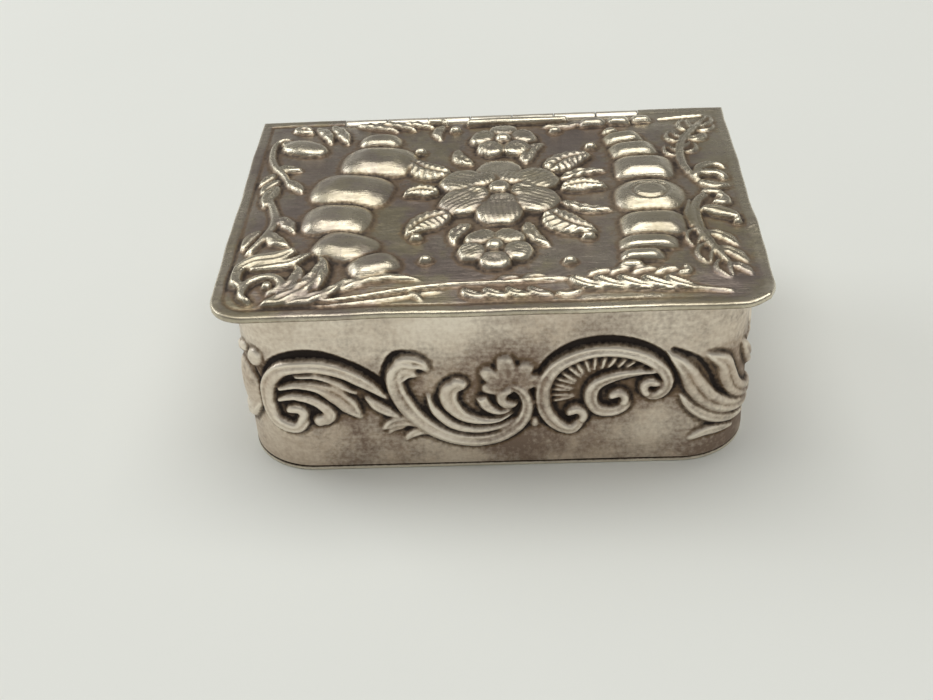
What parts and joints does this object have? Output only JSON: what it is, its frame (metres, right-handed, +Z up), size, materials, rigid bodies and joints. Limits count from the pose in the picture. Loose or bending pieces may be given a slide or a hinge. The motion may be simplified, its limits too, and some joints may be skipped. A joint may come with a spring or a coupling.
{
  "type": "stamp box",
  "caption": "Small rectangular embossed silver box with rounded corners, an overhanging hinged lid and sloping stamp compartments inside.",
  "frame": {"origin": "middle of the footprint of the closed box, on the surface it stands on", "axes": "+Z up, -Y the front of the box, the hinge along X at the back (+Y)"},
  "size_m": [0.046, 0.0358, 0.0183],
  "materials": {
    "silver": "embossed sheet silver, tarnished in the hollows",
    "hinge_silver": "darkened drawn silver",
    "gilt_silver": "worn thin gilding on silver sheet"
  },
  "bodies": {
    "box": {"side_band": "silver", "base_plate": "silver", "body_hinge_bearer": "hinge_silver", "body_knuckle_1": "hinge_silver", "body_knuckle_2": "hinge_silver", "body_knuckle_3": "hinge_silver", "body_knuckle_4": "hinge_silver", "hinge_pin": "hinge_silver", "compartment_divider": "gilt_silver", "stamp_slope_left": "gilt_silver", "stamp_slope_right": "gilt_silver"},
    "lid": {"lid_plate": "silver", "lid_flange": "silver", "lid_hinge_bearer": "hinge_silver", "lid_knuckle_1": "hinge_silver", "lid_knuckle_2": "hinge_silver", "lid_knuckle_3": "hinge_silver"}
  },
  "joints": [
    {"name": "lid_hinge", "type": "hinge", "parent": "box", "child": "lid", "pos_m": [0, 0.0171, 0.0163], "axis": [-1, 0, 0], "range_deg": [0, 105]}
  ]
}
